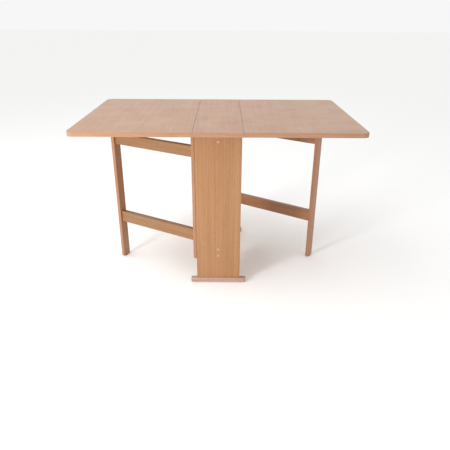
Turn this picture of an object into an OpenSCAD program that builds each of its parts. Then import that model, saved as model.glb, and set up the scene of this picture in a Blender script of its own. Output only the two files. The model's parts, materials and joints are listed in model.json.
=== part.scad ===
// Drop leaf table with two swinging gates, shown open.
// Origin on the floor under the middle of the top, +X along the length, +Z up.
// The left gate hangs from the front panel and the right gate from the rear panel.

/* [Table top] */
// Height of the top surface above the floor
table_h = 740; // [600:5:900]
// Depth of the top, front to back
top_d = 760; // [630:5:920]
// Width of the fixed centre section
centre_w = 204; // [190:1:260]
// Width of each drop leaf
leaf_w = 500; // [415:5:620]
// Thickness of the boards of the top
top_t = 19; // [16:1:25]
// Radius of the outer corners of the leaves
corner_r = 28; // [10:1:60]
// Gap between the centre section and a leaf
leaf_gap = 0.8; // [0.7:0.1:3]
// Thickness of the edge band along the outer edges of the top
band_t = 2; // [1:0.5:3]
// Thickness of the thin edge band along the joints
joint_band_t = 0.6; // [0.4:0.1:1]

/* [End panels and feet] */
// Distance from the front edge of the top back to the end panel
panel_setback = 95; // [60:1:130]
// Distance from the edge of the centre section in to the edge of the end panel
panel_inset = 2; // [2:0.5:8]
// Thickness of the end panels
panel_t = 18; // [15:1:25]
// Length of each foot across the table
foot_l = 256; // [220:1:310]
// Distance a foot stands out in front of its panel
foot_ledge = 6; // [4:1:24]
// Height of the top of the feet above the floor
foot_top = 24; // [20:1:40]
// Radius of the corners of the feet, seen from above
foot_end_r = 6; // [2:1:10]
// Radius along the upper edges of the feet
foot_edge_r = 4; // [2:0.5:8]
// Diameter of the glides
glide_d = 18; // [14:1:20]
// Thickness of the glides
glide_t = 3; // [2:0.5:5]

/* [Stretchers] */
// Thickness of the stretchers
stretcher_t = 18; // [15:1:25]
// Height of the upper stretcher board
top_stretcher_h = 70; // [60:1:100]
// Height of the lower stretcher board
low_stretcher_h = 72; // [60:1:100]
// Height of the lower stretcher's bottom edge above the floor
low_stretcher_z = 122; // [60:1:200]
// Distance from the underside of the top to the upper stretcher screw
top_screw_drop = 42; // [36:1:50]
// Spacing of the two lower stretcher screws
screw_pitch = 32; // [20:1:40]
// Diameter of the caps over the stretcher screws
cap_d = 13; // [12:0.5:18]
// Thickness of the caps
cap_t = 1.4; // [1:0.1:2.5]

/* [Gates] */
// Angle the left gate stands open from the closed position
left_open = 60; // [30:1:75]
// Angle the right gate stands open from the closed position
right_open = 56; // [30:1:75]
// Least clearance between the free end of a closed gate and the far panel
gate_end_gap = 60; // [40:1:120]
// Least distance from the edge of the leaf in to the leg of an open gate
gate_leg_inset = 50; // [30:1:80]
// Width of the gate uprights in the plane of the gate
post_w = 18; // [15:1:24]
// Depth of the gate uprights across the gate
post_d = 44; // [34:1:54]
// Thickness of the gate rails
rail_t = 24; // [18:1:26]
// Setback of a rail from the outer face of the uprights
rail_recess = 9; // [2:0.5:10]
// Height of the upper gate rail
top_rail_h = 50; // [42:1:70]
// Distance from the underside of the leaf to the upper rail
top_rail_drop = 71; // [50:1:110]
// Height of the lower gate rail
low_rail_h = 56; // [42:1:70]
// Height of the lower rail's bottom edge above the floor
low_rail_z = 200; // [130:1:260]
// Height of the hinge stile's bottom end above the floor
stile_z = 112; // [60:1:120]
// Clearance between a gate and the underside of the top
gate_top_clear = 0.4; // [0.3:0.1:1]

/* [Leaf hinges] */
// Length of a leaf hinge along the joint
leaf_hinge_l = 50; // [44:1:60]
// Width of one leaf hinge plate from the pin
leaf_plate_w = 28; // [26:1:36]
// Thickness of the leaf hinge plates
leaf_plate_t = 2; // [1.5:0.1:2.2]
// Radius of the leaf hinge knuckles
leaf_knuckle_r = 3; // [2.8:0.1:3.4]
// Radius of the leaf hinge pins
leaf_pin_r = 1.5; // [1.3:0.1:1.8]
// Distance from each end of the top to the outer leaf hinges
leaf_hinge_inset = 48; // [40:1:55]

/* [Gate hinges] */
// Height of a gate hinge
gate_hinge_l = 50; // [44:1:60]
// Width of one gate hinge plate from the pin
gate_plate_w = 24; // [22:1:30]
// Thickness of the gate hinge plates
gate_plate_t = 1.2; // [0.8:0.1:1.3]
// Radius of the gate hinge knuckles
gate_knuckle_r = 2.5; // [2.2:0.1:2.7]
// Radius of the gate hinge pins
gate_pin_r = 1.25; // [1:0.05:1.4]
// Gap between a panel and the stile of its closed gate
gate_hinge_gap = 3; // [2.9:0.1:4]
// Distance from the underside of the top to the middle of the upper gate hinge
top_hinge_drop = 150; // [135:1:200]
// Height of the middle of the lower gate hinge above the stile's bottom end
low_hinge_rise = 60; // [35:1:80]

/* [Stops and brackets] */
// Length of a gate stop along the open gate
stop_l = 50; // [40:1:80]
// Width of a gate stop
stop_w = 20; // [16:1:30]
// Height of a gate stop below the leaf
stop_h = 15; // [12:1:20]
// Clearance between an open gate and its stop
stop_clear = 0.5; // [0.3:0.1:2]
// Length of the arms of the angle brackets
bracket_arm = 28; // [24:1:40]
// Width of the angle brackets
bracket_w = 18; // [14:1:22]
// Thickness of the angle brackets
bracket_t = 1.8; // [1.2:0.1:2.5]
// Distance from the middle of the table to the panel brackets
bracket_x = 34; // [28:1:40]
// Distance from the middle of the table to the stretcher brackets
bracket_y = 120; // [60:1:180]

/* [Fixings] */
// Diameter of the wooden dowels
dowel_d = 8; // [6:0.5:10]
// Length of the wooden dowels
dowel_l = 34; // [30:1:40]
// Diameter of the hinge and bracket screws
screw_d = 3.5; // [3:0.5:4]
// Length of the hinge and bracket screws
screw_l = 14; // [12:1:16]
// Length of the screws through the gate stops
stop_screw_l = 26; // [22:1:28]
// Diameter of the screws that hold the feet
foot_screw_d = 5; // [4:0.5:6]
// Length of the screws that hold the feet
foot_screw_l = 50; // [40:1:70]
// Diameter of the stretcher screws
bolt_d = 7; // [6:0.5:8]
// Length of the stretcher screws
bolt_l = 50; // [45:1:70]

/* [Clearances] */
// Radial clearance of a pin in its hinge knuckles
pin_clear = 0.05; // [0.02:0.01:0.1]
// Gap between neighbouring hinge knuckles
knuckle_gap = 0.3; // [0.2:0.1:0.6]
// Gap between a hinge knuckle and what moves past it
knuckle_clear = 0.4; // [0.3:0.1:0.6]
// Clearance around fixings in their holes
hole_clear = 0.05; // [0.02:0.01:0.2]

/* [Hidden] */
$fn = 48;

cut = 1;  // how far a cutting shape runs past the face it opens

// Heights and faces shared by several pieces
under_z = table_h - top_t;
panel_w = centre_w - 2 * panel_inset;
panel_outer_y = top_d / 2 - panel_setback;
panel_inner_y = panel_outer_y - panel_t;
panel_mid_y = panel_outer_y - panel_t / 2;
leaf_edge_x = centre_w / 2 + leaf_gap;
foot_d = panel_t + foot_ledge;
foot_mid_y = panel_inner_y + foot_d / 2;

// Leaf hinges: the pin lies under the middle of the gap beside the leaf
leaf_pin_x = centre_w / 2 + leaf_gap / 2;
leaf_pin_z = under_z - leaf_knuckle_r - knuckle_clear;
leaf_hinge_ys = [for (k = [-1, 0, 1]) k * (top_d / 2 - leaf_hinge_inset)];

// Gate hinges: the pin stands just outside the panel's edge
gate_pin_x = panel_w / 2 + gate_knuckle_r;
gate_pin_y = panel_inner_y - gate_hinge_gap / 2;
gate_hinge_zs = [stile_z + low_hinge_rise, under_z - top_hinge_drop];

// A closed gate in its own frame: pin at the origin, gate along +Y, outer face towards -X
gate_x = gate_knuckle_r;
gate_y = gate_hinge_gap / 2;
gate_l_in_base = 2 * panel_inner_y - gate_hinge_gap - gate_end_gap;
gate_reach_x = leaf_edge_x + leaf_w - gate_leg_inset - gate_pin_x;
gate_l_under_leaf = gate_reach_x / sin(max(left_open, right_open)) - gate_y;
gate_l = min(gate_l_in_base, gate_l_under_leaf);
rail_x = gate_x + rail_recess;
rail_y = gate_y + post_w;
rail_l = gate_l - 2 * post_w;
leg_y = gate_y + gate_l - post_w;
gate_top_z = under_z - gate_top_clear;
top_rail_z = under_z - top_rail_drop - top_rail_h;
post_hole_l = post_w * 2 / 3;
rail_dowel_inset = 14;  // from the edges of a rail to its dowels
rail_dowel_x = rail_x + rail_t / 2;

// Heads of the fixings
head_d = 2 * screw_d;
head_t = (head_d - screw_d) / 2;
head_rim = 0.3;
foot_head_d = 2 * foot_screw_d;
foot_head_t = (foot_head_d - foot_screw_d) / 2;
bolt_head_d = bolt_d + 3;
bolt_head_t = 3;
bolt_head_sink = 3.5;
socket_r = 2.2;
socket_l = 3;
cap_stub_l = 2.5;
pin_head_t = 0.8;
pin_head_step = 0.4;  // by which a pin's head is narrower than its knuckle
plate_root = 0.5;  // overlap of a hinge plate and its knuckle's tongue
bracket_side_screw_l = 13;

// Distances from an edge to the middle of a fixing
hinge_screw_end = 9;
leaf_screw_near = 7;
leaf_screw_far = 12;
gate_screw_near = 6;
gate_screw_far = 11;
stop_screw_end = 12;
bracket_screw_end = 9;
glide_end = 24;
foot_screw_end = 62;
panel_dowel_end = 28;

// Places of the repeated fixings
glide_x = foot_l / 2 - glide_end;
foot_screw_x = panel_w / 2 - foot_screw_end;
panel_dowel_x = panel_w / 2 - panel_dowel_end;
panel_dowel_rise = 2;  // how much further a dowel goes into the panel than into the foot
top_bolt_z = under_z - top_screw_drop;
top_dowel_z = under_z - rail_dowel_inset;
low_bolt_zs = [for (k = [-1, 1]) low_stretcher_z + low_stretcher_h / 2 + k * screw_pitch / 2];
bolt_zs = concat([top_bolt_z], low_bolt_zs);
stretcher_l = 2 * panel_inner_y;
glide_spike_d = 3;
glide_spike_l = 12;

beech = "#c99b6e";
light_beech = "#d6b593";
top_beech = "#d4b39b";
band_beech = "#cf9f78";
zinc = "#b9bcc0";
steel = "#8d9094";
hinge_brass = "#b99a5c";
glide_brown = "#3b3632";

// ---------- placing helpers ----------

// The same thing at the front and, turned half a turn about the vertical, at the rear
module front_and_rear() {
    for (turn = [0, 180])
        rotate([0, 0, turn])
            children();
}

module in_left_gate() {
    translate([-gate_pin_x, -gate_pin_y, 0])
        rotate([0, 0, left_open])
            children();
}

module in_right_gate() {
    rotate([0, 0, 180])
        translate([-gate_pin_x, -gate_pin_y, 0])
            rotate([0, 0, right_open])
                children();
}

// The fixed half of each gate hinge stands in the closed gate's frame without turning
module at_gate_pins() {
    front_and_rear()
        translate([-gate_pin_x, -gate_pin_y, 0])
            children();
}

module at_leaf_hinges() {
    for (y = leaf_hinge_ys)
        translate([leaf_pin_x, y, leaf_pin_z])
            children();
}

// ---------- fixings ----------

// Countersunk screw along +Z with the face of its head at z = 0
module countersunk_screw(d, l, hd, ht, grow = 0) {
    translate([0, 0, -grow])
        cylinder(d = hd + 2 * grow, h = 2 * grow + head_rim);
    translate([0, 0, head_rim])
        cylinder(d1 = hd + 2 * grow, d2 = d + 2 * grow, h = ht);
    cylinder(d = d + 2 * grow, h = l + grow);
}

module small_screw(l = screw_l, grow = 0) {
    countersunk_screw(screw_d, l, head_d, head_t, grow);
}

module dowel(l = dowel_l, grow = 0) {
    translate([0, 0, -grow])
        cylinder(d = dowel_d + 2 * grow, h = l + 2 * grow);
}

// ---------- hinges ----------

// One half of a butt hinge with its pin along Z, centred on the origin.
// The plate lies along +X from the pin, between y0 and y0 + t.
module hinge_half(l, w, t, y0, knuckle_r, pin_r, own, count = 5) {
    pitch = (l + knuckle_gap) / count;
    difference() {
        union() {
            translate([knuckle_r + knuckle_clear, y0, -l / 2])
                cube([w - knuckle_r - knuckle_clear, t, l]);
            for (k = own)
                translate([0, 0, -l / 2 + k * pitch]) {
                    cylinder(r = knuckle_r, h = pitch - knuckle_gap);
                    translate([0, y0, 0])
                        cube([knuckle_r + knuckle_clear + plate_root, t, pitch - knuckle_gap]);
                }
        }
        translate([0, 0, -l / 2 - cut])
            cylinder(r = pin_r + pin_clear, h = l + 2 * cut);
    }
}

// Pin with a low round head at each end
module hinge_pin(l, pin_r, knuckle_r) {
    translate([0, 0, -l / 2 - knuckle_gap])
        cylinder(r = pin_r, h = l + 2 * knuckle_gap);
    for (s = [-1, 1])
        translate([0, 0, s * (l + 2 * knuckle_gap + pin_head_t) / 2 - pin_head_t / 2])
            cylinder(r = knuckle_r - pin_head_step, h = pin_head_t);
}

// ----- leaf hinges: the pin runs along Y and the plates lie against the boards -----

leaf_plate_top = leaf_knuckle_r + knuckle_clear;
leaf_screw_spots = [
    for (k = [-1, 0, 1])
        [leaf_plate_w - (k == 0 ? leaf_screw_near : leaf_screw_far), k * (leaf_hinge_l / 2 - hinge_screw_end)]
];

module along_leaf_pin() {
    rotate([-90, 0, 0])
        children();
}

// Screws rising through the plate on the +X side of the pin
module leaf_screw_set(grow = 0) {
    for (p = leaf_screw_spots)
        translate([p[0], p[1], leaf_plate_top - leaf_plate_t])
            small_screw(grow = grow);
}

module leaf_plate(own) {
    difference() {
        along_leaf_pin()
            hinge_half(leaf_hinge_l, leaf_plate_w, leaf_plate_t, -leaf_plate_top,
                leaf_knuckle_r, leaf_pin_r, own);
        leaf_screw_set(hole_clear);
    }
}

// The centre's halves of the leaf hinges, on both sides
module fixed_leaf_side() {
    at_leaf_hinges()
        mirror([1, 0, 0])
            children();
}

// ----- gate hinges: the pin stands upright -----

gate_screw_spots = [
    for (k = [-1, 0, 1])
        [gate_plate_w - (k == 0 ? gate_screw_near : gate_screw_far), k * (gate_hinge_l / 2 - hinge_screw_end)]
];

// The fixed plate lies against the panel, on the -Y side of the pin
module gate_fixed_screw_set(grow = 0) {
    for (p = gate_screw_spots)
        translate([p[0], -gate_hinge_gap / 2 + gate_plate_t, p[1]])
            rotate([90, 0, 0])
                small_screw(grow = grow);
}

// The moving plate lies against the stile, on the +Y side of the closed gate's pin
module gate_moving_screw_set(grow = 0) {
    mirror([0, 1, 0])
        gate_fixed_screw_set(grow);
}

module gate_fixed_plate() {
    difference() {
        hinge_half(gate_hinge_l, gate_plate_w, gate_plate_t, -gate_hinge_gap / 2,
            gate_knuckle_r, gate_pin_r, [0, 2, 4]);
        gate_fixed_screw_set(hole_clear);
    }
}

module gate_moving_plate() {
    difference() {
        mirror([0, 1, 0])
            hinge_half(gate_hinge_l, gate_plate_w, gate_plate_t, -gate_hinge_gap / 2,
                gate_knuckle_r, gate_pin_r, [1, 3]);
        gate_moving_screw_set(hole_clear);
    }
}

module at_gate_hinge_heights() {
    for (z = gate_hinge_zs)
        translate([0, 0, z])
            children();
}

// ---------- table top ----------

// Outline of the centre board inside bands of the given thickness at the ends and at the joints
module centre_outline(outer, joint) {
    square([centre_w - 2 * joint, top_d - 2 * outer], center = true);
}

// Outline of the right leaf: square at the joint, rounded at the two outer corners
module leaf_outline(outer, joint) {
    w = leaf_w - outer - joint;
    d = top_d - 2 * outer;
    r = corner_r - outer;
    translate([leaf_edge_x + joint, 0]) {
        translate([0, -d / 2])
            square([w - r, d]);
        translate([0, -d / 2 + r])
            square([w, d - 2 * r]);
        for (s = [-1, 1])
            translate([w - r, s * (d / 2 - r)])
                circle(r = r, $fn = 96);
    }
}

module leaf_board() {
    difference() {
        translate([0, 0, under_z])
            linear_extrude(top_t)
                leaf_outline(band_t, joint_band_t);
        at_leaf_hinges()
            leaf_screw_set(hole_clear);
    }
}

module leaf_edging() {
    translate([0, 0, under_z])
        linear_extrude(top_t)
            difference() {
                leaf_outline(0, 0);
                leaf_outline(band_t, joint_band_t);
            }
}

module centre_top() {
    color(top_beech)
        difference() {
            translate([0, 0, under_z])
                linear_extrude(top_t)
                    centre_outline(band_t, joint_band_t);
            front_and_rear() {
                fixed_leaf_side()
                    leaf_screw_set(hole_clear);
                bracket_places()
                    bracket_top_screw(hole_clear);
            }
        }
}

module centre_top_edging() {
    color(band_beech)
        translate([0, 0, under_z])
            linear_extrude(top_t)
                difference() {
                    centre_outline(0, 0);
                    centre_outline(band_t, joint_band_t);
                }
}

module left_leaf_top() {
    color(top_beech)
        difference() {
            rotate([0, 0, 180])
                leaf_board();
            in_left_gate()
                stop_screw_set(hole_clear);
        }
}

module right_leaf_top() {
    color(top_beech)
        difference() {
            leaf_board();
            in_right_gate()
                stop_screw_set(hole_clear);
        }
}

module left_leaf_edging() {
    color(band_beech)
        rotate([0, 0, 180])
            leaf_edging();
}

module right_leaf_edging() {
    color(band_beech)
        leaf_edging();
}

// ---------- leaf hinge nodes ----------

module leaf_hinge_fixed_plates() {
    color(hinge_brass)
        front_and_rear()
            fixed_leaf_side()
                leaf_plate([0, 2, 4]);
}

module leaf_hinge_fixed_screws() {
    color(steel)
        front_and_rear()
            fixed_leaf_side()
                leaf_screw_set();
}

module leaf_hinge_pins() {
    color(hinge_brass)
        front_and_rear()
            at_leaf_hinges()
                along_leaf_pin()
                    hinge_pin(leaf_hinge_l, leaf_pin_r, leaf_knuckle_r);
}

module right_leaf_hinge_plates() {
    color(hinge_brass)
        at_leaf_hinges()
            leaf_plate([1, 3]);
}

module left_leaf_hinge_plates() {
    rotate([0, 0, 180])
        right_leaf_hinge_plates();
}

module right_leaf_hinge_screws() {
    color(steel)
        at_leaf_hinges()
            leaf_screw_set();
}

module left_leaf_hinge_screws() {
    rotate([0, 0, 180])
        right_leaf_hinge_screws();
}

// ---------- gate stops ----------

stop_x = gate_x - stop_clear - stop_w;
stop_y = leg_y + post_w - stop_l;

module gate_stop() {
    difference() {
        translate([stop_x, stop_y, under_z - stop_h])
            cube([stop_w, stop_l, stop_h]);
        stop_screw_set(hole_clear);
    }
}

module stop_screw_set(grow = 0) {
    for (y = [stop_y + stop_screw_end, stop_y + stop_l - stop_screw_end])
        translate([stop_x + stop_w / 2, y, under_z - stop_h])
            small_screw(stop_screw_l, grow);
}

module left_gate_stop() {
    color(light_beech)
        in_left_gate()
            gate_stop();
}

module right_gate_stop() {
    color(light_beech)
        in_right_gate()
            gate_stop();
}

module left_stop_screws() {
    color(steel)
        in_left_gate()
            stop_screw_set();
}

module right_stop_screws() {
    color(steel)
        in_right_gate()
            stop_screw_set();
}

// ---------- end panels, feet and their fixings ----------

// Pieces below are written for the front end; the rear end is the same, half a turn round

module panel_dowel_set(grow = 0) {
    for (s = [-1, 1])
        translate([s * panel_dowel_x, -panel_mid_y, foot_top - dowel_l / 2 + panel_dowel_rise])
            dowel(grow = grow);
}

module foot_screw_set(grow = 0) {
    for (s = [-1, 1])
        translate([s * foot_screw_x, -panel_mid_y, glide_t])
            countersunk_screw(foot_screw_d, foot_screw_l, foot_head_d, foot_head_t, grow);
}

module glide(grow = 0) {
    if (grow == 0)
        cylinder(d = glide_d, h = glide_t);
    translate([0, 0, glide_t - cut])
        cylinder(d = glide_spike_d + 2 * grow, h = glide_spike_l + cut + grow);
}

module glide_set(grow = 0) {
    for (s = [-1, 1])
        translate([s * glide_x, -foot_mid_y, 0])
            glide(grow);
}

// Stretcher screw along +Y from the outer face of the front panel
module stretcher_bolt(grow = 0) {
    rotate([-90, 0, 0]) {
        translate([0, 0, bolt_head_sink - bolt_head_t])
            cylinder(d = bolt_head_d + 2 * grow, h = bolt_head_t + grow);
        translate([0, 0, bolt_head_sink])
            cylinder(d = bolt_d + 2 * grow, h = bolt_l + grow);
        if (grow > 0)
            translate([0, 0, -cut])
                cylinder(d = bolt_head_d + 2 * grow, h = bolt_head_sink + cut);
    }
}

module bolt_set(grow = 0) {
    for (z = bolt_zs)
        translate([0, -panel_outer_y, z])
            stretcher_bolt(grow);
}

module stretcher_dowel(grow = 0) {
    translate([0, -panel_inner_y - dowel_l / 3, top_dowel_z])
        rotate([-90, 0, 0])
            dowel(grow = grow);
}

module end_panel() {
    difference() {
        translate([-panel_w / 2, -panel_outer_y, foot_top])
            cube([panel_w, panel_t, under_z - foot_top]);
        panel_dowel_set(hole_clear);
        foot_screw_set(hole_clear);
        bolt_set(hole_clear);
        stretcher_dowel(hole_clear);
        panel_bracket_places()
            bracket_side_screw(hole_clear);
        translate([-gate_pin_x, -gate_pin_y, 0])
            at_gate_hinge_heights()
                gate_fixed_screw_set(hole_clear);
    }
}

module front_panel() {
    color(beech)
        end_panel();
}

module rear_panel() {
    color(beech)
        rotate([0, 0, 180])
            end_panel();
}

// Outline of a foot from above: a rectangle with rounded corners
module foot_plan() {
    r = foot_end_r;
    square([foot_l - 2 * r, foot_d], center = true);
    square([foot_l, foot_d - 2 * r], center = true);
    for (sx = [-1, 1])
        for (sy = [-1, 1])
            translate([sx * (foot_l / 2 - r), sy * (foot_d / 2 - r)])
                circle(r = r, $fn = 64);
}

// Cross-section of a foot of the given half-width: flat below, rounded along its top edges
module foot_section(half) {
    h = foot_top - glide_t;
    r = foot_edge_r;
    translate([-half, 0])
        square([2 * half, h - r]);
    translate([-half + r, 0])
        square([2 * (half - r), h]);
    for (s = [-1, 1])
        translate([s * (half - r), h - r])
            circle(r = r, $fn = 48);
}

module foot_body() {
    translate([0, -foot_mid_y, glide_t])
        intersection() {
            linear_extrude(foot_top)
                foot_plan();
            rotate([90, 0, 90])
                translate([0, 0, -foot_l / 2 - cut])
                    linear_extrude(foot_l + 2 * cut)
                        foot_section(foot_d / 2);
            rotate([90, 0, 0])
                translate([0, 0, -foot_d / 2 - cut])
                    linear_extrude(foot_d + 2 * cut)
                        foot_section(foot_l / 2);
        }
}

module foot() {
    difference() {
        foot_body();
        panel_dowel_set(hole_clear);
        foot_screw_set(hole_clear);
        glide_set(hole_clear);
    }
}

module front_foot() {
    color(light_beech)
        foot();
}

module rear_foot() {
    color(light_beech)
        rotate([0, 0, 180])
            foot();
}

module panel_dowels() {
    color(light_beech)
        front_and_rear()
            panel_dowel_set();
}

module foot_screws() {
    color(steel)
        front_and_rear()
            foot_screw_set();
}

module foot_glides() {
    color(glide_brown)
        front_and_rear()
            glide_set();
}

// ---------- stretchers ----------

module stretcher(z, h) {
    difference() {
        translate([-stretcher_t / 2, -stretcher_l / 2, z])
            cube([stretcher_t, stretcher_l, h]);
        front_and_rear() {
            bolt_set(hole_clear);
            stretcher_dowel(hole_clear);
            stretcher_bracket_place()
                bracket_side_screw(hole_clear);
        }
    }
}

module top_stretcher() {
    color(beech)
        stretcher(under_z - top_stretcher_h, top_stretcher_h);
}

module lower_stretcher() {
    color(beech)
        stretcher(low_stretcher_z, low_stretcher_h);
}

module stretcher_screws() {
    color(steel)
        front_and_rear()
            difference() {
                bolt_set();
                for (z = bolt_zs)
                    translate([0, -panel_outer_y, z])
                        rotate([-90, 0, 0])
                            cylinder(r = socket_r, h = socket_l);
            }
}

module stretcher_dowels() {
    color(light_beech)
        front_and_rear()
            stretcher_dowel();
}

// Round cap on the panel face, with a stub in the screw's socket
module screw_caps() {
    color(light_beech)
        front_and_rear()
            for (z = bolt_zs)
                translate([0, -panel_outer_y, z])
                    rotate([-90, 0, 0]) {
                        translate([0, 0, -cap_t])
                            cylinder(d = cap_d, h = cap_t);
                        translate([0, 0, -cap_t / 2])
                            cylinder(r = socket_r - hole_clear, h = cap_t / 2 + cap_stub_l);
                    }
}

// ---------- angle brackets ----------

// A bracket in the corner below the top: its side arm faces a board at y = 0, its top arm runs along +Y
module angle_bracket() {
    difference() {
        union() {
            translate([-bracket_w / 2, 0, under_z - bracket_arm])
                cube([bracket_w, bracket_t, bracket_arm]);
            translate([-bracket_w / 2, 0, under_z - bracket_t])
                cube([bracket_w, bracket_arm, bracket_t]);
        }
        bracket_side_screw(hole_clear);
        bracket_top_screw(hole_clear);
    }
}

module bracket_side_screw(grow = 0) {
    translate([0, bracket_t, under_z - bracket_arm + bracket_screw_end])
        rotate([90, 0, 0])
            small_screw(bracket_side_screw_l, grow);
}

module bracket_top_screw(grow = 0) {
    translate([0, bracket_arm - bracket_screw_end, under_z - bracket_t])
        small_screw(grow = grow);
}

module panel_bracket_places() {
    for (s = [-1, 1])
        translate([s * bracket_x, -panel_inner_y, 0])
            children();
}

module stretcher_bracket_place() {
    translate([stretcher_t / 2, -bracket_y, 0])
        rotate([0, 0, -90])
            children();
}

module bracket_places() {
    panel_bracket_places()
        children();
    stretcher_bracket_place()
        children();
}

module angle_brackets() {
    color(zinc)
        front_and_rear()
            bracket_places()
                angle_bracket();
}

module bracket_screws() {
    color(steel)
        front_and_rear()
            bracket_places() {
                bracket_side_screw();
                bracket_top_screw();
            }
}

// ---------- gates, each piece in the closed gate's frame ----------

// Dowels between the rails and the uprights
module gate_dowel_set(grow = 0) {
    for (rail = [[low_rail_z, low_rail_h], [top_rail_z, top_rail_h]])
        for (z = [rail[0] + rail_dowel_inset, rail[0] + rail[1] - rail_dowel_inset])
            for (y = [rail_y - post_hole_l, rail_y + rail_l + post_hole_l - dowel_l])
                translate([rail_dowel_x, y, z])
                    rotate([-90, 0, 0])
                        dowel(grow = grow);
}

module gate_stile() {
    difference() {
        translate([gate_x, gate_y, stile_z])
            cube([post_d, post_w, gate_top_z - stile_z]);
        gate_dowel_set(hole_clear);
        at_gate_hinge_heights()
            gate_moving_screw_set(hole_clear);
    }
}

module gate_glide(grow = 0) {
    translate([gate_x + post_d / 2, leg_y + post_w / 2, 0])
        glide(grow);
}

module gate_leg() {
    difference() {
        translate([gate_x, leg_y, glide_t])
            cube([post_d, post_w, gate_top_z - glide_t]);
        gate_dowel_set(hole_clear);
        gate_glide(hole_clear);
    }
}

module gate_rail(z, h) {
    difference() {
        translate([rail_x, rail_y, z])
            cube([rail_t, rail_l, h]);
        gate_dowel_set(hole_clear);
    }
}

module left_gate_stile() {
    color(light_beech)
        in_left_gate()
            gate_stile();
}

module right_gate_stile() {
    color(light_beech)
        in_right_gate()
            gate_stile();
}

module left_gate_leg() {
    color(light_beech)
        in_left_gate()
            gate_leg();
}

module right_gate_leg() {
    color(light_beech)
        in_right_gate()
            gate_leg();
}

module left_gate_top_rail() {
    color(beech)
        in_left_gate()
            gate_rail(top_rail_z, top_rail_h);
}

module right_gate_top_rail() {
    color(beech)
        in_right_gate()
            gate_rail(top_rail_z, top_rail_h);
}

module left_gate_lower_rail() {
    color(beech)
        in_left_gate()
            gate_rail(low_rail_z, low_rail_h);
}

module right_gate_lower_rail() {
    color(beech)
        in_right_gate()
            gate_rail(low_rail_z, low_rail_h);
}

module left_gate_dowels() {
    color(light_beech)
        in_left_gate()
            gate_dowel_set();
}

module right_gate_dowels() {
    color(light_beech)
        in_right_gate()
            gate_dowel_set();
}

module left_gate_glide() {
    color(glide_brown)
        in_left_gate()
            gate_glide();
}

module right_gate_glide() {
    color(glide_brown)
        in_right_gate()
            gate_glide();
}

module left_gate_hinge_plates() {
    color(hinge_brass)
        in_left_gate()
            at_gate_hinge_heights()
                gate_moving_plate();
}

module right_gate_hinge_plates() {
    color(hinge_brass)
        in_right_gate()
            at_gate_hinge_heights()
                gate_moving_plate();
}

module left_gate_hinge_screws() {
    color(steel)
        in_left_gate()
            at_gate_hinge_heights()
                gate_moving_screw_set();
}

module right_gate_hinge_screws() {
    color(steel)
        in_right_gate()
            at_gate_hinge_heights()
                gate_moving_screw_set();
}

module gate_hinge_fixed_plates() {
    color(hinge_brass)
        at_gate_pins()
            at_gate_hinge_heights()
                gate_fixed_plate();
}

module gate_hinge_fixed_screws() {
    color(steel)
        at_gate_pins()
            at_gate_hinge_heights()
                gate_fixed_screw_set();
}

module gate_hinge_pins() {
    color(hinge_brass)
        at_gate_pins()
            at_gate_hinge_heights()
                hinge_pin(gate_hinge_l, gate_pin_r, gate_knuckle_r);
}

centre_top();
centre_top_edging();
left_leaf_top();
left_leaf_edging();
left_leaf_hinge_plates();
left_leaf_hinge_screws();
left_gate_stop();
left_stop_screws();
right_leaf_top();
right_leaf_edging();
right_leaf_hinge_plates();
right_leaf_hinge_screws();
right_gate_stop();
right_stop_screws();
leaf_hinge_fixed_plates();
leaf_hinge_fixed_screws();
leaf_hinge_pins();
front_panel();
rear_panel();
front_foot();
rear_foot();
panel_dowels();
foot_screws();
foot_glides();
top_stretcher();
lower_stretcher();
stretcher_screws();
stretcher_dowels();
screw_caps();
angle_brackets();
bracket_screws();
gate_hinge_fixed_plates();
gate_hinge_fixed_screws();
gate_hinge_pins();
left_gate_stile();
left_gate_leg();
left_gate_top_rail();
left_gate_lower_rail();
left_gate_dowels();
left_gate_hinge_plates();
left_gate_hinge_screws();
left_gate_glide();
right_gate_stile();
right_gate_leg();
right_gate_top_rail();
right_gate_lower_rail();
right_gate_dowels();
right_gate_hinge_plates();
right_gate_hinge_screws();
right_gate_glide();
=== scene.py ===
"""Looks of a drop leaf table: boards, end frames, gates and fittings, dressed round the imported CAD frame.

The table stands open, with a gate swung out under each leaf. Every shape that replaces a CAD node takes its
size and place from that node, so a change to the frame carries through. All lengths are in metres.
"""

from __future__ import annotations

import json
import logging
import math
from dataclasses import dataclass, field, replace
from enum import Enum
from typing import Any, Iterable, Sequence

import bmesh
import bpy
from bmesh.types import BMesh
from bpy.types import ID, Material, Mesh, Node, NodeSocket, NodeTree, Object
from mathutils import Euler, Matrix, Vector


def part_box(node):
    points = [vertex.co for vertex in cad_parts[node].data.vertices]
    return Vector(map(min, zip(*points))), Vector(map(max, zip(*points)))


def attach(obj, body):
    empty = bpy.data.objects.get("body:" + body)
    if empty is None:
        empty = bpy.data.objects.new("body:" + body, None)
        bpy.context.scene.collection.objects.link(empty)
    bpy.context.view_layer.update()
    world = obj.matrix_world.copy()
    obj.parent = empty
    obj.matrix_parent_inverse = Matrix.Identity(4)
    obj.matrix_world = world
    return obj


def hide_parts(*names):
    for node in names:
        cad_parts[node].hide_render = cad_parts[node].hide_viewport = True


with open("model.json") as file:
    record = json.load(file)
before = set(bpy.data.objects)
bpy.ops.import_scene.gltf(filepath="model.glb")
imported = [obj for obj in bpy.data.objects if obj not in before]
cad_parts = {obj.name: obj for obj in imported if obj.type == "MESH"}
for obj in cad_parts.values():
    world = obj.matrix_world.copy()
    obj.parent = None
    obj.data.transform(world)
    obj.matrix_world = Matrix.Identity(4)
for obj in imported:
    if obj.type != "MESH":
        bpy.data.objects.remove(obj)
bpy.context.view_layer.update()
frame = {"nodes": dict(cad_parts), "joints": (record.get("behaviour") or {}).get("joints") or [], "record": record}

logging.basicConfig(level=logging.INFO, format="%(message)s")
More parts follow.
